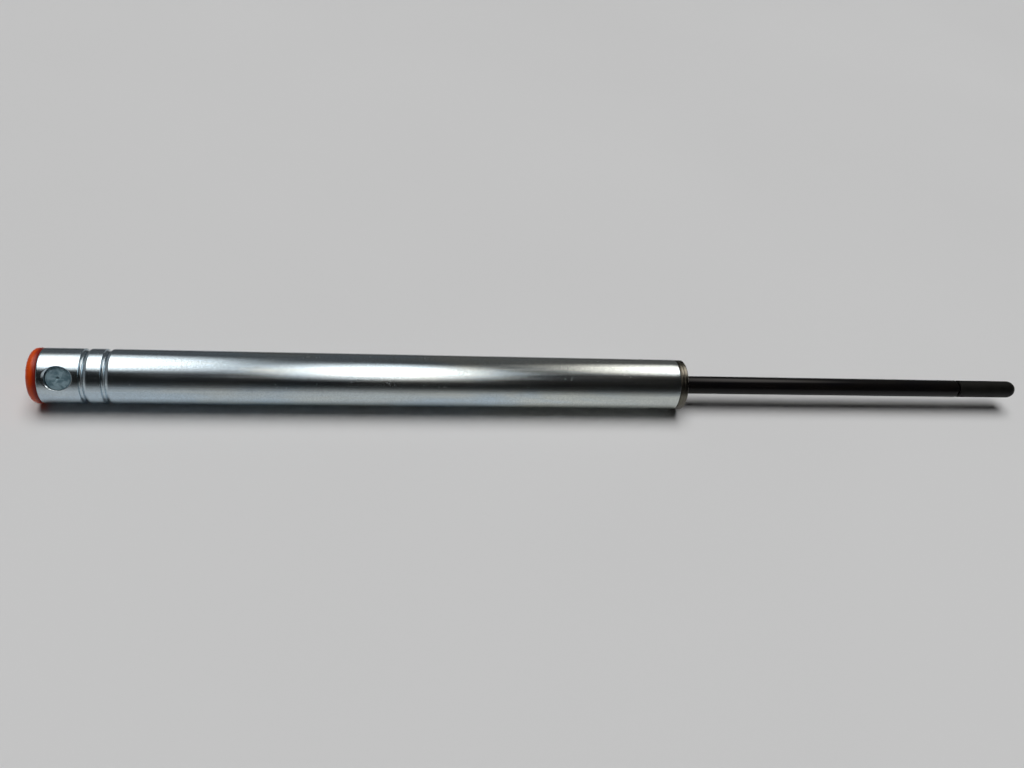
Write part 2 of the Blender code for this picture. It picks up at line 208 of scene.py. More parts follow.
def rods_mesh(name, rods, segments=48):
    """Plain cylinders along X, for drilling: each is (y, z, start, end, radius)."""
    build = bmesh.new()
    turn = Matrix.Rotation(math.pi / 2, 4, "Y")
    for y, z, start, end, radius in rods:
        add_prism(build, segments, radius, end - start, Matrix.Translation(((start + end) / 2, y, z)) @ turn)
    return finished_mesh(build, name)


# ---------------------------------------------------------------- materials


class Graph:
    """A material's nodes, added by short calls. An argument that is a socket is linked, a value is set."""

    def __init__(self, name):
        self.material = bpy.data.materials.new(name)
        self.material.use_nodes = True
        self.tree = self.material.node_tree
        self.shader = self.tree.nodes["Principled BSDF"]
        self.place = self.add("ShaderNodeTexCoord").outputs["Object"]

    def add(self, kind, inputs=(), **settings):
        node = self.tree.nodes.new(kind)
        for key, value in settings.items():
            setattr(node, key, value)
        for key, value in dict(inputs).items():
            self.feed(node.inputs[key], value)
        return node

    def feed(self, socket, value):
        if isinstance(value, bpy.types.NodeSocket):
            self.tree.links.new(value, socket)
        else:
            socket.default_value = value

    def math(self, operation, a, b=0.0, clamp=False):
        return self.add("ShaderNodeMath", {0: a, 1: b}, operation=operation, use_clamp=clamp).outputs[0]

    def span(self, value, low, high, to_low=0.0, to_high=1.0, smooth=False):
        kind = "SMOOTHSTEP" if smooth else "LINEAR"
        inputs = {"Value": value, "From Min": low, "From Max": high, "To Min": to_low, "To Max": to_high}
        return self.add("ShaderNodeMapRange", inputs, interpolation_type=kind).outputs["Result"]

    def stretched(self, x, y, z, vector=None):
        inputs = {0: vector or self.place, 1: (x, y, z)}
        return self.add("ShaderNodeVectorMath", inputs, operation="MULTIPLY").outputs[0]

    def noise(self, vector, scale=1.0, detail=3.0, roughness=0.55, distortion=0.0):
        inputs = {"Vector": vector, "Scale": scale, "Detail": detail, "Roughness": roughness}
        inputs["Distortion"] = distortion
        return self.add("ShaderNodeTexNoise", inputs).outputs["Fac"]

    def cells(self, vector, scale, feature="F1"):
        node = self.add("ShaderNodeTexVoronoi", {"Vector": vector, "Scale": scale}, feature=feature)
        return node.outputs["Distance"]

    def mix(self, factor, a, b, blend="MIX"):
        node = self.add("ShaderNodeMix", data_type="RGBA", blend_type=blend)
        self.feed(node.inputs[0], factor)
        for socket, value in zip((node.inputs[6], node.inputs[7]), (a, b)):
            self.feed(socket, (*value, 1.0) if isinstance(value, tuple) else value)
        return node.outputs[2]

    def split(self):
        node = self.add("ShaderNodeSeparateXYZ", {0: self.place})
        return node.outputs

    def radius(self):
        _, y, z = self.split()
        return self.math("SQRT", self.math("ADD", self.math("MULTIPLY", y, y), self.math("MULTIPLY", z, z)))

    def turning(self, pitch):
        """A value that repeats nowhere along the section, so its rings follow the lathe."""
        x = self.split()[0]
        along = self.math("ADD", self.math("DIVIDE", x, pitch), self.math("DIVIDE", self.radius(), pitch))
        return self.add("ShaderNodeCombineXYZ", {0: along}).outputs[0]

    def bump(self, height, distance, strength=1.0, normal=None):
        inputs = {"Height": height, "Distance": distance, "Strength": strength}
        if normal is not None:
            inputs["Normal"] = normal
        return self.add("ShaderNodeBump", inputs).outputs[0]

    def finish(self, colour, roughness, normal, **constants):
        self.feed(self.shader.inputs["Base Color"], colour)
        self.feed(self.shader.inputs["Roughness"], roughness)
        if normal is not None:
            self.feed(self.shader.inputs["Normal"], normal)
        for key, value in constants.items():
            self.shader.inputs[key.replace("_", " ")].default_value = value
        return self.material


def zinc_plate():
    """Bright zinc over a drawn tube: streaks, a blue and straw tint, grain, specks and rolling marks."""
    g = Graph("zinc_plate")
    clouds = g.noise(g.stretched(14, 70, 70), detail=4)
    tint = g.noise(g.stretched(16, 90, 90), detail=3, distortion=0.6)
    along = g.span(g.split()[0], 0.06, 0.34, -0.16, 0.16)
    colour = g.mix(g.span(g.math("ADD", tint, along), 0.34, 0.66), (0.56, 0.70, 0.81), (0.73, 0.77, 0.72))
    colour = g.mix(g.span(clouds, 0.3, 0.75, 0.0, 0.4), colour, (0.47, 0.53, 0.56))
    specks = g.cells(g.place, 700.0)
    speck = g.span(specks, 0.05, 0.18, 1.0, 0.0)
    rare = g.span(g.noise(g.place, 140.0, detail=1), 0.60, 0.68)
    speck = g.math("MULTIPLY", speck, rare)
    colour = g.mix(g.math("MULTIPLY", speck, 0.7), colour, (0.10, 0.09, 0.085))
    marks = g.noise(g.stretched(520, 9, 9), detail=2)
    marked = g.span(g.noise(g.stretched(11, 60, 60), detail=1), 0.5, 0.62)
    marks = g.math("MULTIPLY", g.span(marks, 0.58, 0.72), marked)
    colour = g.mix(g.math("MULTIPLY", marks, 0.22), colour, (0.30, 0.31, 0.31))
    streaks = g.noise(g.stretched(18, 1100, 1100), detail=4, roughness=0.65)
    grain = g.noise(g.place, 1250.0, detail=3, roughness=0.7)
    colour = g.mix(g.span(grain, 0.38, 0.62, 0.0, 0.34), colour, (0.30, 0.33, 0.35))
    colour = g.mix(g.span(streaks, 0.4, 0.65, 0.0, 0.14), colour, (0.33, 0.35, 0.36))
    rough = g.span(clouds, 0.3, 0.75, 0.13, 0.22)
    rough = g.math("ADD", rough, g.span(streaks, 0.35, 0.7, -0.02, 0.05))
    rough = g.math("ADD", rough, g.math("MULTIPLY", speck, 0.25))
    normal = g.bump(streaks, 0.01 * MM, 0.8)
    normal = g.bump(grain, 0.03 * MM, 0.7, normal)
    normal = g.bump(marks, 0.01 * MM, 0.5, normal)
    normal = g.bump(g.math("MULTIPLY", speck, -1.0), 0.03 * MM, 0.6, normal)
    return g.finish(colour, rough, normal, Metallic=1.0)


def turned_metal(name, colour, tint, roughness, pitch, depth):
    """Metal from the lathe: rings that follow the section, an oily tint in patches, brighter edges."""
    g = Graph(name)
    rings = g.noise(g.turning(pitch), detail=3, roughness=0.7)
    patches = g.noise(g.place, 160.0, detail=4)
    base = g.mix(g.span(patches, 0.35, 0.7), colour, tint)
    base = g.mix(g.span(rings, 0.3, 0.7, 0.0, 0.35), base, tuple(0.55 * c for c in colour))
    edges = g.add("ShaderNodeNewGeometry").outputs["Pointiness"]
    base = g.mix(g.span(edges, 0.53, 0.60, 0.0, 0.5), base, tuple(min(1.0, 1.5 * c) for c in colour))
    rough = g.span(patches, 0.3, 0.7, roughness - 0.05, roughness + 0.09)
    rough = g.math("ADD", rough, g.span(rings, 0.3, 0.7, -0.04, 0.05))
    normal = g.bump(rings, depth)
    normal = g.bump(g.noise(g.place, 1800.0, detail=2), 0.004 * MM, 0.4, normal)
    return g.finish(base, rough, normal, Metallic=1.0)


def orange_plastic():
    """Glossy moulded plastic: a slight colour drift, scuffs, and painted shade where it meets the tube."""
    g = Graph("orange_plastic")
    drift = g.noise(g.place, 90.0, detail=3)
    colour = g.mix(g.span(drift, 0.3, 0.7), (0.66, 0.075, 0.003), (0.56, 0.05, 0.002))
    scuffs = g.noise(g.stretched(700, 160, 160), detail=4, distortion=0.6)
    colour = g.mix(g.span(scuffs, 0.62, 0.78, 0.0, 0.35), colour, (0.82, 0.26, 0.09))
    # painted shade: the plastic darkens towards its joint with the tube, as if shaded by the narrow gap there
    joint = g.math("ADD", g.split()[0], g.span(drift, 0.3, 0.7, -0.2 * MM, 0.2 * MM))
    colour = g.mix(g.span(joint, 2.9 * MM, 4.3 * MM, 0.0, 0.9), colour, (0.21, 0.010, 0.006))
    rough = g.math("ADD", g.span(drift, 0.3, 0.7, 0.24, 0.36), g.span(scuffs, 0.6, 0.8, 0.0, 0.18))
    normal = g.bump(g.noise(g.place, 700.0, detail=2), 0.012 * MM, 0.5)
    normal = g.bump(scuffs, 0.01 * MM, 0.4, normal)
    gloss = {"IOR": 1.45, "Specular_IOR_Level": 0.3, "Coat_Weight": 0.08, "Coat_Roughness": 0.1}
    return g.finish(colour, rough, normal, **gloss)


def nitrided_rod():
    """Black nitrided steel, polished round and round, then rubbed lengthwise by the seals."""
    g = Graph("nitrided_rod")
    rubs = g.noise(g.stretched(12, 1300, 1300), detail=3)
    rings = g.noise(g.stretched(4200, 60, 60), detail=2)
    patches = g.noise(g.stretched(40, 220, 220), detail=4)
    colour = g.mix(g.span(patches, 0.3, 0.75), (0.003, 0.003, 0.004), (0.006, 0.005, 0.004))
    colour = g.mix(g.span(rubs, 0.64, 0.80, 0.0, 0.25), colour, (0.05, 0.047, 0.044))
    rough = g.math("ADD", g.span(patches, 0.3, 0.7, 0.13, 0.20), g.span(rubs, 0.3, 0.7, -0.02, 0.04))
    normal = g.bump(rings, 0.004 * MM, 0.6)
    normal = g.bump(rubs, 0.003 * MM, 0.6, normal)
    return g.finish(colour, rough, normal, IOR=1.25)


def moulded(name, colour, tint, roughness, grain_scale, depth, **constants):
    """Moulded rubber or plastic: a fine grain, cloudy colour and a little dust."""
    g = Graph(name)
    clouds = g.noise(g.place, 210.0, detail=4)
    grain = g.noise(g.place, grain_scale, detail=3)
    base = g.mix(g.span(clouds, 0.3, 0.7), colour, tint)
    dust = tuple(min(1.0, 2.2 * c + 0.004) for c in colour)
    base = g.mix(g.span(grain, 0.55, 0.8, 0.0, 0.25), base, dust)
    rough = g.span(clouds, 0.3, 0.7, roughness - 0.07, roughness + 0.07)
    rough = g.math("ADD", rough, g.span(grain, 0.3, 0.7, -0.03, 0.05))
    return g.finish(base, rough, g.bump(grain, depth), **constants)


def black_plastic():
    colours = (0.003, 0.003, 0.0025), (0.006, 0.006, 0.005)
    return moulded("black_plastic", *colours, 0.52, 1500.0, 0.03 * MM, Specular_IOR_Level=0.18)


def seal_rubber():
    return moulded("seal_rubber", (0.018, 0.018, 0.018), (0.03, 0.03, 0.03), 0.66, 2200.0, 0.02 * MM)


def bearing_polymer():
    return moulded("bearing_polymer", (0.12, 0.10, 0.08), (0.16, 0.13, 0.10), 0.48, 1700.0, 0.015 * MM)


def bumper_polymer():
    return moulded("bumper_polymer", (0.55, 0.42, 0.12), (0.48, 0.33, 0.09), 0.46, 1300.0, 0.02 * MM)


def machined_steel():
    colours = (0.17, 0.16, 0.135), (0.115, 0.108, 0.083)
    return turned_metal("machined_steel", *colours, 0.2, 0.30 * MM, 0.02 * MM)


def bronze():
    return turned_metal("bronze", (0.60, 0.40, 0.18), (0.46, 0.29, 0.12), 0.30, 0.14 * MM, 0.008 * MM)


def aluminium():
    return turned_metal("aluminium", (0.72, 0.73, 0.74), (0.62, 0.63, 0.65), 0.30, 0.14 * MM, 0.008 * MM)


MATERIALS = {
    "zinc_plated_steel": zinc_plate(),
    "orange_plastic": orange_plastic(),
    "machined_steel": machined_steel(),
    "black_nitrided_steel": nitrided_rod(),
    "black_plastic": black_plastic(),
    "seal_rubber": seal_rubber(),
    "bearing_polymer": bearing_polymer(),
    "bumper_polymer": bumper_polymer(),
    "bronze": bronze(),
    "aluminium": aluminium(),
}


def port_disc_metal():
    """The port plug's face: rings round its own centre, painted shade in its centre-punch mark, and a mottled
    bluish plate.
    """
    g = Graph("port_disc_metal")
    out = around(0, 1, PORT_ANGLE)
    centre = Vector((PORT_X, 0, 0))
    offset = g.add("ShaderNodeVectorMath", {0: g.place, 1: centre}, operation="SUBTRACT").outputs[0]
    across = g.add("ShaderNodeVectorMath", {0: offset, 1: out}, operation="CROSS_PRODUCT").outputs[0]
    radius = g.add("ShaderNodeVectorMath", {0: across}, operation="LENGTH").outputs["Value"]
    ring = g.add("ShaderNodeCombineXYZ", {0: g.math("DIVIDE", radius, 0.22 * MM)}).outputs[0]
    rings = g.noise(ring, detail=3, roughness=0.7)
    patches = g.noise(g.place, 330.0, detail=4, distortion=0.5)
    colour = g.mix(g.span(patches, 0.42, 0.58), (0.17, 0.29, 0.35), (0.44, 0.62, 0.70))
    colour = g.mix(g.span(rings, 0.35, 0.65, 0.0, 0.5), colour, (0.15, 0.24, 0.29))
    # painted shade: the punched centre's colour is darkened as shade in the recess; its roughness rises there
    # too
    shaded_dimple = g.span(radius, 0.5 * MM, 1.1 * MM, 1.0, 0.0)
    colour = g.mix(g.math("MULTIPLY", shaded_dimple, 0.75), colour, (0.08, 0.14, 0.17))
    rough = g.math("ADD", g.span(patches, 0.3, 0.7, 0.30, 0.46), g.span(rings, 0.3, 0.7, -0.05, 0.05))
    rough = g.math("ADD", rough, g.math("MULTIPLY", shaded_dimple, 0.3))
    normal = g.bump(rings, 0.03 * MM)
    normal = g.bump(patches, 0.16 * MM, 0.6, normal)
    return g.finish(colour, rough, normal, Metallic=0.4)


# ---------------------------------------------------------------- standing in for CAD nodes

BODY_OF = {node: body for body, nodes in frame["record"]["behaviour"]["bodies"].items() for node in nodes}
SLOT_OF = {part["node"]: part["material_slot"] for part in frame["record"]["subparts"]}


def stands_for(piece, node):
    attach(piece, BODY_OF[node])
    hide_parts(node)
    return piece


def material_of(node):
    return MATERIALS[SLOT_OF[node]]


def section_of(node, bearing):
    """The outline (x, r) of a turned CAD node, where the half-plane at this bearing cuts it."""
    build = bmesh.new()
    build.from_mesh(frame["nodes"][node].data)
    bmesh.ops.remove_doubles(build, verts=build.verts, dist=0.001 * MM)
    out, side = around(0, 1, bearing), around(0, 1, bearing + math.pi / 2)
    for normal, both in ((out, False), (side, True)):
        geometry = build.verts[:] + build.edges[:] + build.faces[:]
        bmesh.ops.bisect_plane(
            build, geom=geometry, dist=0.001 * MM, plane_no=normal, clear_inner=True, clear_outer=both
        )
    bmesh.ops.dissolve_limit(build, angle_limit=math.radians(1), verts=build.verts, edges=build.edges)
    build.verts.ensure_lookup_table()
    ends = [vertex for vertex in build.verts if len(vertex.link_edges) == 1]
    path = [ends[0] if ends else build.verts[0]]
    while True:
        beside = [edge.other_vert(path[-1]) for edge in path[-1].link_edges]
        onward = [vertex for vertex in beside if vertex not in path]
        if not onward:
            break
        path.append(onward[0])
    if len(path) != len(build.verts):
        raise RuntimeError(f"the section of {node} isn't one outline")
    section = [(vertex.co.x, max(0.0, vertex.co.dot(out))) for vertex in path]
    build.free()
    return section


def clear_of_holes(sides):
    """A bearing close to -Y where a turned node of this many sides has its corners, and no holes."""
    return math.pi / 2 + math.pi / sides


def relathed(node, sides=24, soften=0.15 * MM, segments=INNER_SEGMENTS, bearing=None):
    """A fine copy of a turned CAD node, with soft corners."""
    section = section_of(node, clear_of_holes(sides) if bearing is None else bearing)
    return stands_for(lathe(node + "_fine", softened(section, soften), material_of(node), segments), node)


def o_ring(node):
    """A round-section ring in the middle of its CAD node."""
    low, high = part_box(node)
    size = (high.x - low.x) / 2
    radius = max(high.y, high.z) / math.cos(math.pi / 24) - size
    loop = arc((low.x + high.x) / 2, radius, size, 0, 360, 24)[:-1]
    return stands_for(lathe(node + "_fine", loop, material_of(node), INNER_SEGMENTS), node)


# ---------------------------------------------------------------- the tube


def groove_drop(x):
    """How far the grooves sink at x: a crisp wall towards the tail, a long slope towards the rod."""
    drop = 0.0
    for centre in GROOVE_CENTRES:
        t = (x - centre) / GROOVE_HALF_WIDTH
        if t > GROOVE_LOWEST:
            drop += GROOVE_DEPTH * smoothstep((1 - t) / (1 - GROOVE_LOWEST))
        elif t > -1:
            left = (GROOVE_LOWEST - t) / (1 + GROOVE_LOWEST)
            drop += GROOVE_DEPTH * (1 - left**2)
    return drop


def wall_radius(height):
    """The port's wall: a straight hole, with a countersink above its foot."""
    slope = (PORT_MOUTH_RADIUS - PORT_FLOOR_RADIUS) / (TUBE_RADIUS - PORT_CONE_FOOT)
    return PORT_FLOOR_RADIUS + slope * max(0.0, height - PORT_CONE_FOOT)


def rim_radius(radius, bearing):
    """Where the port's wall meets a cylinder of this radius, at a bearing round the port's axis."""
    rim = PORT_FLOOR_RADIUS
    for _ in range(40):
        rim = wall_radius(math.sqrt(radius**2 - (rim * math.sin(bearing)) ** 2))
    return rim


def port_point(rho, bearing, height):
    """A point at rho from the port's axis and at a height above the strut's axis along it."""
    out, side = around(0, 1, PORT_ANGLE), around(0, 1, PORT_ANGLE + math.pi / 2)
    return Vector((PORT_X + rho * math.cos(bearing), 0, 0)) + side * rho * math.sin(bearing) + out * height


def on_cylinder(radius, rho, bearing):
    return port_point(rho, bearing, math.sqrt(radius**2 - (rho * math.sin(bearing)) ** 2))


def tube_outline(start, end):
    """The tube's section, out along its outside and back along its bore."""
    window = [PORT_X - WINDOW_REACH + 2 * WINDOW_REACH * i / WINDOW_ROWS for i in range(WINDOW_ROWS + 1)]
    steps = [i / 20 - 1 for i in range(41)]
    grooves = [centre + GROOVE_HALF_WIDTH * step for centre in GROOVE_CENTRES for step in steps]
    plain_start, plain_end = 45 * MM, end - 5 * MM
    plain = [plain_start + (plain_end - plain_start) * i / 24 for i in range(25)]
    xs = window + grooves + plain
    outside = arc(start + LIP, TUBE_RADIUS - LIP, LIP, 180, 90, LIP_STEPS)
    outside += [(x, TUBE_RADIUS - groove_drop(x)) for x in xs]
    outside += arc(end - LIP, TUBE_RADIUS - LIP, LIP, 90, 0, LIP_STEPS)
    bore = [(x, TUBE_BORE - groove_drop(x)) for x in xs[::-1]]
    return outside + [(end, TUBE_BORE)] + bore + [(start, TUBE_BORE)]


def fill_grid(build, grid, windows):
    """Faces between all the rings, except in the windows: each is a run of rings, open beside the port."""
    holes = set()
    for rows in windows:
        for a, b in zip(rows, rows[1:]):
            holes |= {(min(a, b), c % SEGMENTS) for c in range(-WINDOW_COLUMNS, WINDOW_COLUMNS)}
    for r, ring in enumerate(grid):
        following = grid[(r + 1) % len(grid)]
        for c in range(SEGMENTS):
            if (r, c) not in holes:
                d = (c + 1) % SEGMENTS
                build.faces.new((ring[c], ring[d], following[d], following[c]))


def window_border(grid, rows):
    """The vertices round a window, in order."""
    border = [(rows[0], c) for c in range(-WINDOW_COLUMNS, WINDOW_COLUMNS)]
    border += [(r, WINDOW_COLUMNS) for r in rows[:-1]]
    border += [(rows[-1], c) for c in range(WINDOW_COLUMNS, -WINDOW_COLUMNS, -1)]
    border += [(r, -WINDOW_COLUMNS) for r in rows[:0:-1]]
    return [grid[r][c % SEGMENTS] for r, c in border]


def round_the_port(vertices):
    """Each vertex's bearing round the port's axis, and its distance from it."""
    side = around(0, 1, PORT_ANGLE + math.pi / 2)
    places = [(vertex.co.x - PORT_X, vertex.co.dot(side)) for vertex in vertices]
    return [(math.atan2(across, along), math.hypot(along, across)) for along, across in places]


def layers_to_rim(build, border, radius, edge=0.0):
    """Rings of vertices on a cylinder of this radius, closer together towards the port's rim."""
    count = 9
    layers = [border]
    for step in range(1, count + 1):
        t = 1 - (1 - step / count) ** 1.6
        layer = []
        for bearing, reach in round_the_port(border):
            rim = rim_radius(radius, bearing) + edge
            layer.append(build.verts.new(on_cylinder(radius, reach + (rim - reach) * t, bearing)))
        layers.append(layer)
    return layers


def rim_height(radius, bearing):
    return math.sqrt(radius**2 - (rim_radius(radius, bearing) * math.sin(bearing)) ** 2)


def wall_layers(build, bearings):
    """Rings of vertices down the port's wall: t runs to 1 down the countersink, to 2 down the hole."""
    layers = []
    for t in (0.0, 0.35, 0.7, 1.0, 1.3, 1.7):
        layer = []
        for bearing in bearings:
            top, bottom = rim_height(TUBE_RADIUS, bearing) - PORT_EDGE, rim_height(TUBE_BORE, bearing)
            foot = min(PORT_CONE_FOOT, top - 0.01 * MM)
            height = top + (foot - top) * t if t <= 1 else foot + (bottom - foot) * (t - 1)
            layer.append(build.verts.new(port_point(wall_radius(height), bearing, height)))
        layers.append(layer)
    return layers


def bridge(build, layers):
    """Faces between each ring of vertices and the next."""
    for near, far in zip(layers, layers[1:]):
        for i in range(len(near)):
            j = (i + 1) % len(near)
            build.faces.new((near[i], near[j], far[j], far[i]))


def make_tube():
    """A lathed grid whose rings start at the port, with the port let into its two windows."""
    low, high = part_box("cylinder_tube")
    loop = tube_outline(low.x, high.x)
    outer_rows = [LIP_STEPS + 1 + i for i in range(WINDOW_ROWS + 1)]
    inner_rows = [len(loop) - 2 - i for i in range(WINDOW_ROWS + 1)]
    build = bmesh.new()
    angles = [PORT_ANGLE + 2 * math.pi * i / SEGMENTS for i in range(SEGMENTS)]
    grid = [[build.verts.new(around(x, r, angle)) for angle in angles] for x, r in loop]
    fill_grid(build, grid, (outer_rows, inner_rows))
    outside = layers_to_rim(build, window_border(grid, outer_rows), TUBE_RADIUS, PORT_EDGE)
    inside = layers_to_rim(build, window_border(grid, inner_rows), TUBE_BORE)
    bearings = [bearing for bearing, _ in round_the_port(outside[0])]
    walls = [outside[-1], *wall_layers(build, bearings), inside[-1]]
    for layers in (outside, walls, inside):
        bridge(build, layers)
    bmesh.ops.recalc_face_normals(build, faces=build.faces)
    mesh = finished_mesh(build, "cylinder_tube_fine")
    stands_for(new_piece("cylinder_tube_fine", mesh, material_of("cylinder_tube")), "cylinder_tube")


# ---------------------------------------------------------------- the other visible pieces


PORT_TURN = Vector((1, 0, 0)).rotation_difference(around(0, 1, PORT_ANGLE)).to_matrix().to_4x4()
PORT_PLACE = Matrix.Translation((PORT_X, 0, 0)) @ PORT_TURN  # takes X to the port's axis


def make_end_cap():
    """A moulded cap: a rounded flange, a shallow ring and a gate mark on its face, a spigot and a stem."""
    joint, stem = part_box("cylinder_tube")[0].x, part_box("end_cap")[1].x
    flange, spigot = joint - 0.1 * MM, joint + 1.9 * MM
    gate_radius, gate_depth = 1.1 * MM, 0.25 * MM
    ring_radius, ring_depth = 8.6 * MM, 0.12 * MM
    rim_edge, spigot_radius, stem_radius = 0.8 * MM, 11.8 * MM, 3.0 * MM
    gate = [(gate_depth, 0), (gate_depth, gate_radius - 0.4 * MM)]
    gate += [(gate_depth / 5, gate_radius - 0.1 * MM), (0, gate_radius)]
    ring = [(0, ring_radius - 0.4 * MM), (ring_depth, ring_radius - 0.2 * MM)]
    ring += [(ring_depth, ring_radius + 0.2 * MM), (0, ring_radius + 0.4 * MM)]
    edge = arc(CAP_EDGE, TUBE_RADIUS - CAP_EDGE, CAP_EDGE, 180, 90, 14)
    rim = arc(flange - rim_edge, TUBE_RADIUS - rim_edge, rim_edge, 90, 0, 8)
    plug = [(flange, spigot_radius), (spigot - 0.3 * MM, spigot_radius), (spigot, spigot_radius - 0.3 * MM)]
    tail = [(spigot, stem_radius), (stem - 0.5 * MM, stem_radius), (stem, stem_radius - 0.5 * MM), (stem, 0)]
    loop = gate + ring + edge + rim + plug + tail
    return stands_for(lathe("end_cap_fine", loop, material_of("end_cap")), "end_cap")


def make_port_plug():
    """The plug's disc, dished by a centre punch, and its shank, turned about the port's own axis."""
    floor, head, foot, shank = PORT_FLOOR_HEIGHT, PLUG_HEAD_FOOT, PLUG_SHANK_FOOT, PLUG_SHANK_RADIUS
    disc = PORT_FLOOR_RADIUS - 0.06 * MM
    punched = [(floor - 0.9 * MM, 0), (floor - 0.45 * MM, 0.4 * MM), (floor - 0.1 * MM, 0.7 * MM)]
    top = [(floor, 0.95 * MM), (floor, disc - 0.35 * MM), (floor - 0.12 * MM, disc - 0.1 * MM)]
    rest = [(floor - 0.3 * MM, disc), (head, disc), (head, shank), (foot, shank), (foot, 0)]
    mesh = lathed_mesh("port_plug_fine", softened(punched + top + rest, 0.15 * MM), INNER_SEGMENTS)
    mesh.transform(PORT_PLACE)
    return stands_for(new_piece("port_plug_fine", mesh, port_disc_metal()), "port_plug")


def make_port_seal():
    (bottom, top), (bore, outer) = PORT_SEAL_SPAN, PORT_SEAL_RADII
    loop = [(bottom, bore), (bottom, outer), (top, outer), (top, bore)]
    mesh = lathed_mesh("port_seal_ring_fine", softened(loop, 0.2 * MM), INNER_SEGMENTS)
    mesh.transform(PORT_PLACE)
    return stands_for(new_piece("port_seal_ring_fine", mesh, material_of("port_seal_ring")), "port_seal_ring")


def make_end_plug():
    """The steel plug under the rolled grooves, bored for the port plug and its seal."""
    away_from_port = PORT_ANGLE + math.pi + math.radians(2.5)
    plug = relathed("end_plug", bearing=away_from_port)
    bores = (
        (SEAT_FLOOR, TUBE_RADIUS + MM, SEAT_RADIUS),
        (SHANK_HOLE_FLOOR, SEAT_FLOOR + 1.2 * MM, SHANK_HOLE_RADIUS),
        (0, SHANK_HOLE_FLOOR + 0.7 * MM, PASSAGE_RADIUS),
    )
    for i, (bottom, top, radius) in enumerate(bores):
        cutter = rods_mesh(f"port_bore_{i}", [(0, 0, bottom, top, radius)], INNER_SEGMENTS)
        cutter.transform(PORT_PLACE)
        drilled(plug, cutter)


def grooved(section, radius, places, width, depth):
    """The outline with shallow grooves turned into its longest run at this radius."""
    result = []
    for here, following in zip(section, section[1:] + section[:1]):
        result.append(here)
        if max(abs(here[1] - radius), abs(following[1] - radius)) > 0.02 * MM:
            continue
        inside = [x for x in places if min(here[0], following[0]) < x < max(here[0], following[0])]
        turned = 1 if following[0] > here[0] else -1
        for x in sorted(inside, reverse=turned < 0):
            steps = ((-1, 0), (-0.5, depth), (0.5, depth), (1, 0))
            result += [(x + turned * side * width / 2, radius - down) for side, down in steps]
    return result


def make_gland():
    """The screwed gland: fine turned grooves outside, two spanner holes in its face."""
    joint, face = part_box("cylinder_tube")[1].x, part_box("gland_head")[1].x
    section = section_of("gland_head", clear_of_holes(32))
    radius = max(r for _, r in section)
    places, width, depth = [joint + 0.75 * MM, joint + 2.3 * MM], 0.3 * MM, 0.14 * MM
    section = softened(grooved(section, radius, places, width, depth), 0.2 * MM)
    gland = stands_for(lathe("gland_head_fine", section, material_of("gland_head")), "gland_head")
    circle, hole_radius, hole_depth = 10.9 * MM, 1.25 * MM, 2.5 * MM
    holes = [(0, sign * circle, face - hole_depth, face + MM, hole_radius) for sign in (-1, 1)]
    return drilled(gland, rods_mesh("spanner_holes", holes))


def make_rod_cap():
    """A plain skirt with a broken edge, a round nose, and a blind bore for the stud."""
    low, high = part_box("rod_end_cap")
    start, middle, end = low.x, low.x + 12 * MM, high.x
    bore_end, bore_radius, chamfer, edge = start + 18.9 * MM, 3.9 * MM, 0.2 * MM, 0.35 * MM
    bore = [(bore_end, 0), (bore_end, bore_radius), (start + chamfer, bore_radius)]
    skirt = [(start, 4.2 * MM), (start, ROD_CAP_RADIUS - edge)]
    skirt += [(start + edge, ROD_CAP_RADIUS), (middle, ROD_CAP_RADIUS)]
    dome = arc(end - ROD_CAP_RADIUS, 0, ROD_CAP_RADIUS, 90, 0, 20)
    dome[-1] = (end, 0)
    loop = bore + skirt + dome
    return stands_for(lathe("rod_end_cap_fine", loop, material_of("rod_end_cap"), 128), "rod_end_cap")


def make_piston():
    piston = relathed("piston")
    low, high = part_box("piston")
    circle, hole = 6.9 * MM, 1.1 * MM
    turns = [math.pi / 4 + i * math.pi / 2 for i in range(4)]
    holes = [(circle * math.sin(a), circle * math.cos(a), low.x - MM, high.x + MM, hole) for a in turns]
    return drilled(piston, rods_mesh("orifices", holes))


def make_nut():
    """A hexagon with its corners turned off, and a bore."""
    node = "piston_nut"
    low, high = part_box(node)
    across_flats, bore = 13 * MM, 3.8 * MM
    build = bmesh.new()
    place = Matrix.Translation(((low.x + high.x) / 2, 0, 0)) @ Matrix.Rotation(math.pi / 2, 4, "Y")
    place = place @ Matrix.Rotation(math.pi / 6, 4, "Z")
    add_prism(build, 6, across_flats / math.sqrt(3), high.x - low.x, place)
    nut = new_piece(node + "_fine", finished_mesh(build, node + "_fine"), material_of(node))
    drilled(nut, rods_mesh("nut_bore", [(0, 0, low.x - MM, high.x + MM, bore)]))
    edge = nut.modifiers.new("edges", "BEVEL")
    edge.width, edge.segments, edge.limit_method = 0.25 * MM, 2, "ANGLE"
    return stands_for(nut, node)


def make_snap_ring():
    ring = relathed("gland_snap_ring")
    low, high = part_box("gland_snap_ring")
    gap_height, gap_radius = -8.7 * MM, 2.2 * MM
    gap = (0, gap_height, low.x - MM, high.x + MM, gap_radius)
    return drilled(ring, rods_mesh("snap_ring_gap", [gap]))


make_tube()
make_end_cap()
make_port_plug()
make_port_seal()
make_end_plug()
make_gland()
make_rod_cap()
make_piston()
make_nut()
make_snap_ring()
for node in ("end_plug_o_ring", "gland_o_ring", "separator_o_ring", "piston_ring_energizer"):
    o_ring(node)
relathed("piston_rod", segments=128)
relathed("rod_wiper", soften=0.1 * MM)
for node in (
    "end_plug_backup_ring",
    "gland_backup_ring",
    "rod_guide_bush",
    "rod_seal",
    "seal_washer",
    "piston_ring",
    "check_plate",
    "check_spring",
    "bumper_seat",
    "rebound_bumper",
    "damping_shim",
    "piston_washer",
    "separator_piston",
    "separator_guide_tail",
    "separator_guide_rod",
):
    relathed(node)


# ---------------------------------------------------------------- floor, light and camera


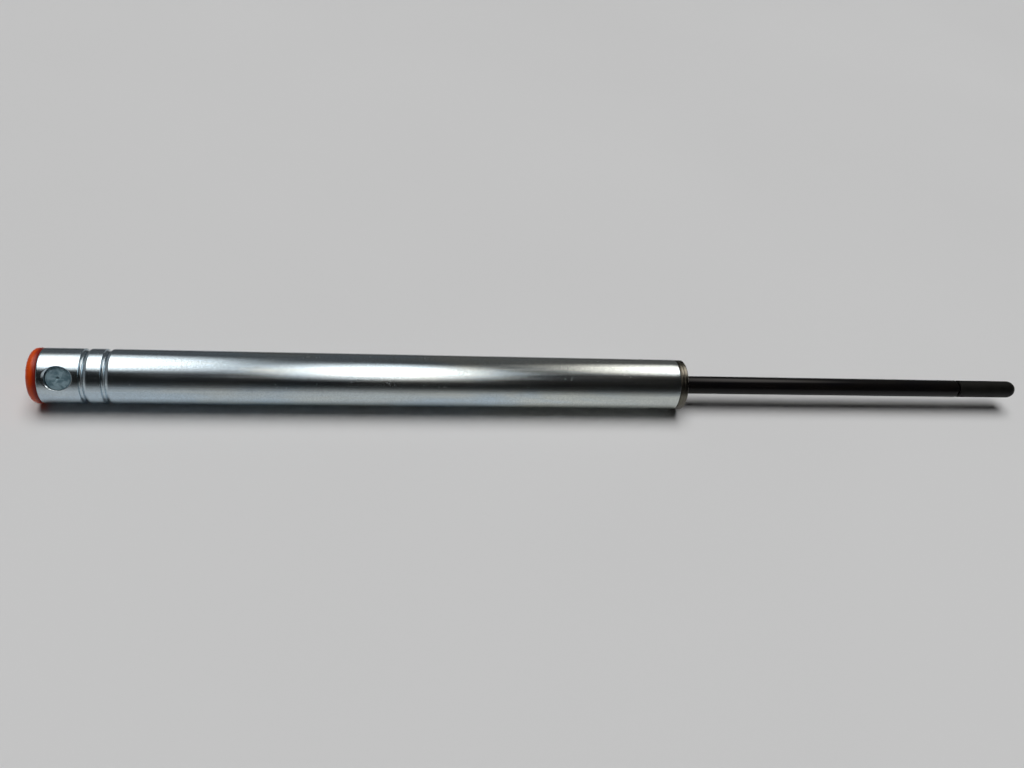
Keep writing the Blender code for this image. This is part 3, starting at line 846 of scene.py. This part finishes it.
FLOOR_SIZE = 16
MIRROR_SHADE_BEHIND = (0.03, 0.11)  # along Y, where the painted shade on the floor that the metal mirrors starts and where it is full
MIRROR_SHADE_IN_FRONT = (-0.03, -0.25)


def make_floor():
    """A pale sheet. What the metal mirrors of it is painted darker away from the strut: painted shade, seen
    only in reflections.
    """
    bpy.ops.mesh.primitive_plane_add(size=FLOOR_SIZE, location=(0, 0, FLOOR_Z))
    floor = bpy.context.object
    floor.name = "floor"
    g = Graph("pale_floor")
    drift = g.noise(g.place, 3.0, detail=2)
    pale = g.mix(g.span(drift, 0.3, 0.7), (0.71, 0.71, 0.71), (0.73, 0.73, 0.73))
    y = g.split()[1]
    # painted shade: for glossy rays the floor is darkened behind the strut and, less, in front of it
    mirrored = g.mix(g.span(y, *MIRROR_SHADE_BEHIND, smooth=True), pale, (0.08, 0.08, 0.08))
    mirrored = g.mix(g.span(y, *MIRROR_SHADE_IN_FRONT, smooth=True), mirrored, (0.38, 0.38, 0.38))
    glossy = g.add("ShaderNodeLightPath").outputs["Is Glossy Ray"]
    floor.data.materials.append(g.finish(g.mix(glossy, pale, mirrored), 0.9, None))
    g.shader.inputs["Specular IOR Level"].default_value = 0.1


def from_elevation(degrees, distance):
    """A place in the YZ plane: degrees run from the -Y horizon, over the top, to the +Y horizon."""
    angle = math.radians(degrees)
    return Vector((0, -distance * math.cos(angle), distance * math.sin(angle)))


def add_light(name, kind, place, colour=(1, 1, 1)):
    data = bpy.data.lights.new(name, kind)
    data.color = colour
    light = bpy.data.objects.new(name, data)
    light.location = place
    light.rotation_euler = Vector((0, -place.y, -place.z)).to_track_quat("-Z", "Y").to_euler()
    light.visible_camera = False
    bpy.context.scene.collection.objects.link(light)
    return light


def add_node(tree, kind, *sources, **settings):
    """A node whose first inputs are linked to these sources, or set to these values."""
    node = tree.nodes.new(kind)
    for key, value in settings.items():
        setattr(node, key, value)
    for socket, source in zip(node.inputs, sources):
        if isinstance(source, bpy.types.NodeSocket):
            tree.links.new(source, socket)
        else:
            socket.default_value = source
    return node


# Each softbox's name, its middle and half its width along X in metres, its elevation and half its
# angle seen from the strut in degrees.
SOFTBOXES = (
    ("softbox_tail", -0.305, 0.34, 107, 46),
    ("softbox_middle", 0.188, 0.245, 83, 45),
    ("softbox_rod", 0.775, 0.34, 117, 36.5),
)
SOFTBOX_COLOUR = (1.0, 0.95, 0.90)
SOFTBOX_RADIANCE = 3.4
SOFTBOX_DISTANCE = 1.0
SOFTBOX_FADE = 0.9  # how much of the way from its rim to its middle it takes to get to full brightness

SUN_ELEVATION = 99
SUN_SPREAD = math.radians(46)
SUN_STRENGTH = 2.36


def softbox_strength(tree):
    """Full in the middle and none at the oval's rim, and none once the light has left a dull surface."""
    spot = add_node(tree, "ShaderNodeNewGeometry").outputs["Parametric"]
    centred = add_node(tree, "ShaderNodeVectorMath", spot, (2, 2, 0), (-1, -1, 0), operation="MULTIPLY_ADD")
    length = add_node(tree, "ShaderNodeVectorMath", centred.outputs[0], operation="LENGTH").outputs["Value"]
    fade = add_node(
        tree, "ShaderNodeMapRange", length, 1.0, 1.0 - SOFTBOX_FADE, interpolation_type="SMOOTHSTEP"
    )
    depth = add_node(tree, "ShaderNodeLightPath").outputs["Diffuse Depth"]
    direct = add_node(tree, "ShaderNodeMath", depth, 0.5, operation="LESS_THAN")
    shown = add_node(tree, "ShaderNodeMath", fade.outputs["Result"], direct.outputs[0], operation="MULTIPLY")
    return shown.outputs[0]


def add_softbox(name, x, half_width, elevation, half_angle):
    """An oval softbox that fades at its rim. The materials mirror it, and it lights nothing else."""
    place = from_elevation(elevation, SOFTBOX_DISTANCE) + Vector((x, 0, 0))
    light = add_light(name, "AREA", place, SOFTBOX_COLOUR)
    light.visible_diffuse = False
    data = light.data
    data.shape = "RECTANGLE"
    data.size = 2 * half_width
    data.size_y = 2 * SOFTBOX_DISTANCE * math.tan(math.radians(half_angle))
    data.energy = SOFTBOX_RADIANCE * math.pi * data.size * data.size_y
    data.use_nodes = True
    tree = data.node_tree
    tree.links.new(softbox_strength(tree), tree.nodes["Emission"].inputs["Strength"])


def make_lights():
    for softbox in SOFTBOXES:
        add_softbox(*softbox)
    sky = add_light("overhead", "SUN", from_elevation(SUN_ELEVATION, 1.0))
    sky.visible_glossy = False
    sky.data.angle = SUN_SPREAD
    sky.data.energy = SUN_STRENGTH
    make_room()


# What the metal mirrors of the room: degrees from the -Y horizon, over the top, and how bright it is.
ROOM = (
    (-20, 0.30),
    (0, 0.26),
    (11, 0.05),
    (23, 0.015),
    (35, 0.009),
    (60, 0.010),
    (140, 0.08),
    (180, 0.12),
)
TAIL_GLOW = (-0.45, -0.70, 0.0, 0.20)  # how much brighter the room gets from one X direction to another
ROOM_LIGHT = 0.008  # what the room adds to dull surfaces
ROOM_SEEN = 0.55  # where the camera looks past the floor


def mirrored_room(tree):
    """How bright the room is in each direction that the metal mirrors."""
    direction = add_node(tree, "ShaderNodeTexCoord").outputs["Generated"]
    x, y, z = add_node(tree, "ShaderNodeSeparateXYZ", direction).outputs
    forward = add_node(tree, "ShaderNodeMath", y, -1.0, operation="MULTIPLY")
    angle = add_node(tree, "ShaderNodeMath", z, forward.outputs[0], operation="ARCTAN2")
    low, high = math.radians(ROOM[0][0]), math.radians(ROOM[-1][0])
    along = add_node(tree, "ShaderNodeMapRange", angle.outputs[0], low, high)
    ramp = add_node(tree, "ShaderNodeValToRGB", along.outputs["Result"])
    while len(ramp.color_ramp.elements) < len(ROOM):
        ramp.color_ramp.elements.new(0.5)
    for element, (degrees, level) in zip(ramp.color_ramp.elements, ROOM):
        element.position = (math.radians(degrees) - low) / (high - low)
        element.color = (level, level, level, 1)
    glow = add_node(tree, "ShaderNodeMapRange", x, *TAIL_GLOW).outputs["Result"]
    return add_node(tree, "ShaderNodeMath", ramp.outputs[0], glow, operation="ADD").outputs[0]


def make_room():
    """Pale where the camera looks past the floor, and dark with a glow along the front for the metal."""
    world = bpy.data.worlds.new("room")
    bpy.context.scene.world = world
    world.use_nodes = True
    tree = world.node_tree
    path = add_node(tree, "ShaderNodeLightPath")
    seen = add_node(tree, "ShaderNodeMix", path.outputs["Is Camera Ray"])
    seen.inputs[2].default_value, seen.inputs[3].default_value = ROOM_LIGHT, ROOM_SEEN
    choice = add_node(tree, "ShaderNodeMix", path.outputs["Is Glossy Ray"])
    tree.links.new(seen.outputs[0], choice.inputs[2])
    tree.links.new(mirrored_room(tree), choice.inputs[3])
    tree.links.new(choice.outputs[0], tree.nodes["Background"].inputs["Strength"])
    tree.nodes["Background"].inputs["Color"].default_value = (1, 1, 1, 1)


CAMERA_DISTANCE = 0.4576  # from the strut's axis
CAMERA_X = 0.1656
CAMERA_ELEVATION = math.radians(46)
CAMERA_LENS = 29.84
AIM_X = 0.2420
AIM_BELOW = 0.94 * MM  # the centre of the view passes this far below the axis
CAMERA_ROLL = math.radians(0.83)


def make_camera():
    data = bpy.data.cameras.new("camera")
    data.lens = CAMERA_LENS
    data.sensor_width = 36.0
    data.clip_start = 0.01
    camera = bpy.data.objects.new("camera", data)
    bpy.context.scene.collection.objects.link(camera)
    toward = Vector((0, math.cos(CAMERA_ELEVATION), -math.sin(CAMERA_ELEVATION)))
    up = Vector((0, math.sin(CAMERA_ELEVATION), math.cos(CAMERA_ELEVATION)))
    place = Vector((CAMERA_X, 0, 0)) - toward * CAMERA_DISTANCE
    aim = Vector((AIM_X, 0, 0)) - up * AIM_BELOW
    forward = (aim - place).normalized()
    right = forward.cross(up).normalized()
    level = right.cross(forward)
    right, level = (
        right * math.cos(CAMERA_ROLL) + level * math.sin(CAMERA_ROLL),
        level * math.cos(CAMERA_ROLL) - right * math.sin(CAMERA_ROLL),
    )
    turn = Matrix((right, level, -forward)).transposed().to_4x4()
    camera.matrix_world = Matrix.Translation(place) @ turn
    bpy.context.scene.camera = camera


make_floor()
make_lights()
make_camera()
bpy.context.scene.view_settings.view_transform = "Standard"
